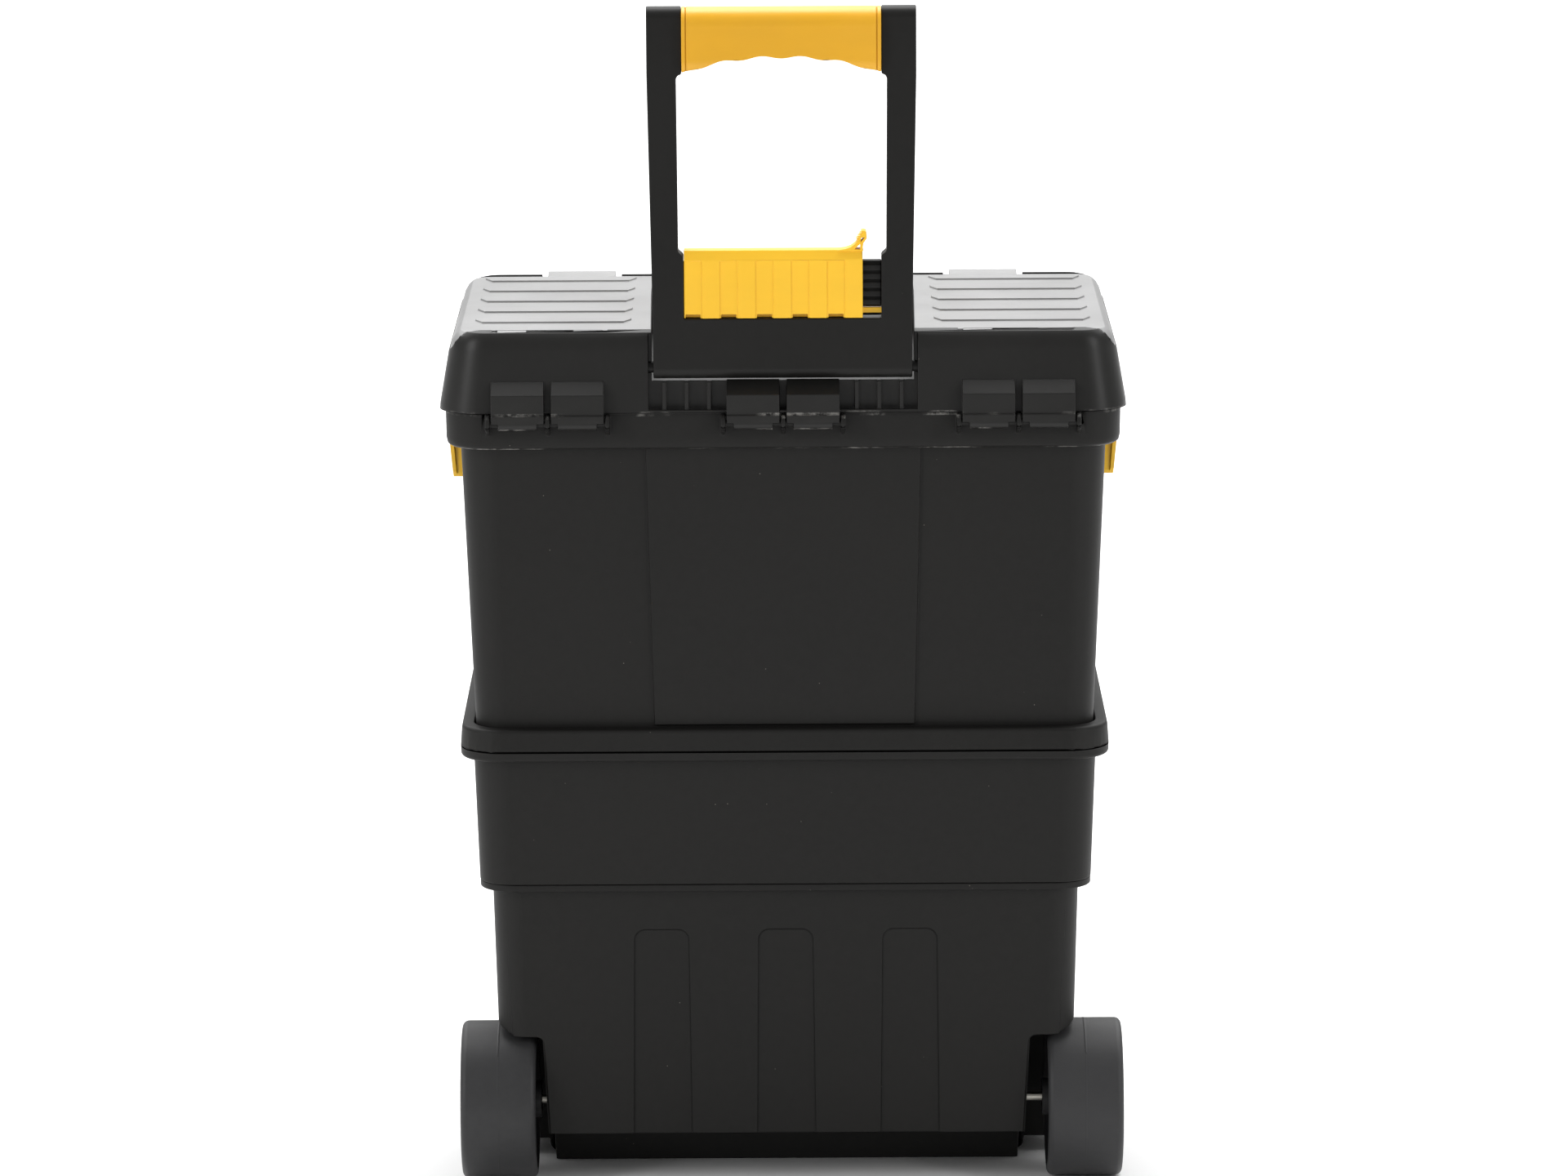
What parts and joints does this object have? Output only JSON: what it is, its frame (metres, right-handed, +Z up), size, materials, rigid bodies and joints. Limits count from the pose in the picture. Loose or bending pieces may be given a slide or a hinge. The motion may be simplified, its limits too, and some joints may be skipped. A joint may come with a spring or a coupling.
{
  "type": "rolling tool box",
  "caption": "Rolling tool box: a wheeled bin, tray and seat frame stack under a lift-off toolbox with lid organizers, latches and a pull handle that folds into its lid.",
  "frame": {"origin": "centre of the footprint, on the floor that the wheels and the foot stand on", "axes": "+Z up, +X along the width, +Y from the rear, with the lid hinges and the wheels, to the front"},
  "size_m": [0.474, 0.3, 0.839],
  "materials": {
    "black_body": "fine-textured moulded polypropylene",
    "black_lid": "smoother satin moulded polypropylene",
    "black_handle": "satin moulded plastic",
    "wheel_plastic": "moulded dark grey plastic with a tread parting line",
    "hub_plastic": "satin moulded plastic",
    "yellow_plastic": "semi-gloss moulded plastic",
    "clear_cover": "frosted translucent plastic",
    "zinc_steel": "zinc-plated"
  },
  "bodies": {
    "base": {"base_bin": "black_body", "axle": "zinc_steel", "push_nuts": "zinc_steel", "base_latch_pin": "zinc_steel"},
    "left_wheel": {"wheel_left": "wheel_plastic", "hub_cap_left": "hub_plastic"},
    "right_wheel": {"wheel_right": "wheel_plastic", "hub_cap_right": "hub_plastic"},
    "tray": {"middle_tray": "black_body", "tray_latch_pin": "zinc_steel"},
    "seat": {"seat_frame": "black_body"},
    "toolbox": {"toolbox_tub": "black_body", "tote_tray": "black_lid"},
    "lid": {"toolbox_lid": "black_lid", "cover_hinge_pins": "zinc_steel", "organizer_dividers": "black_lid", "side_latch_pins": "zinc_steel", "handle_pivot_pins": "black_handle"},
    "left_cover": {"organizer_cover_left": "clear_cover"},
    "right_cover": {"organizer_cover_right": "clear_cover"},
    "left_side_latch": {"side_latch_left": "yellow_plastic"},
    "right_side_latch": {"side_latch_right": "yellow_plastic"},
    "tray_front_latch": {"tray_latch": "yellow_plastic"},
    "base_front_latch": {"base_latch": "yellow_plastic"},
    "pull_handle": {"handle_frame": "black_handle", "handle_grip": "yellow_plastic", "lock_bar": "black_handle"},
    "handle_lock": {"lock_slide": "yellow_plastic"}
  },
  "joints": [
    {"name": "left_wheel_spin", "type": "hinge", "parent": "base", "child": "left_wheel", "pos_m": [-0.2, -0.074, 0.056], "axis": [1, 0, 0], "continuous": true},
    {"name": "right_wheel_spin", "type": "hinge", "parent": "base", "child": "right_wheel", "pos_m": [0.2, -0.074, 0.056], "axis": [1, 0, 0], "continuous": true},
    {"name": "tray_lift", "type": "slide", "parent": "base", "child": "tray", "axis": [0, 0, 1], "range_m": [0, 0.12]},
    {"name": "seat_lift", "type": "slide", "parent": "tray", "child": "seat", "axis": [0, 0, 1], "range_m": [0, 0.12]},
    {"name": "toolbox_lift", "type": "slide", "parent": "seat", "child": "toolbox", "axis": [0, 0, 1], "range_m": [0, 0.12]},
    {"name": "lid_hinge", "type": "hinge", "parent": "toolbox", "child": "lid", "pos_m": [0, -0.144, 0.553], "axis": [1, 0, 0], "range_deg": [0, 105]},
    {"name": "left_cover_hinge", "type": "hinge", "parent": "lid", "child": "left_cover", "pos_m": [-0.16, -0.1278, 0.6123], "axis": [1, 0, 0], "range_deg": [0, 100]},
    {"name": "right_cover_hinge", "type": "hinge", "parent": "lid", "child": "right_cover", "pos_m": [0.16, -0.1278, 0.6123], "axis": [1, 0, 0], "range_deg": [0, 100]},
    {"name": "left_side_latch_hinge", "type": "hinge", "parent": "lid", "child": "left_side_latch", "pos_m": [-0.2312, 0, 0.569], "axis": [0, 1, 0], "range_deg": [0, 100]},
    {"name": "right_side_latch_hinge", "type": "hinge", "parent": "lid", "child": "right_side_latch", "pos_m": [0.2312, 0, 0.569], "axis": [0, -1, 0], "range_deg": [0, 100]},
    {"name": "tray_latch_hinge", "type": "hinge", "parent": "tray", "child": "tray_front_latch", "pos_m": [0, 0.1345, 0.2918], "axis": [-1, 0, 0], "range_deg": [0, 95]},
    {"name": "base_latch_hinge", "type": "hinge", "parent": "base", "child": "base_front_latch", "pos_m": [0, 0.1262, 0.1963], "axis": [-1, 0, 0], "range_deg": [0, 95]},
    {"name": "handle_fold", "type": "hinge", "parent": "lid", "child": "pull_handle", "pos_m": [0, -0.1307, 0.5902], "axis": [-1, 0, 0], "range_deg": [0, 90]},
    {"name": "lock_slide_travel", "type": "slide", "parent": "pull_handle", "child": "handle_lock", "axis": [1, 0, 0], "range_m": [0, 0.0124]}
  ]
}
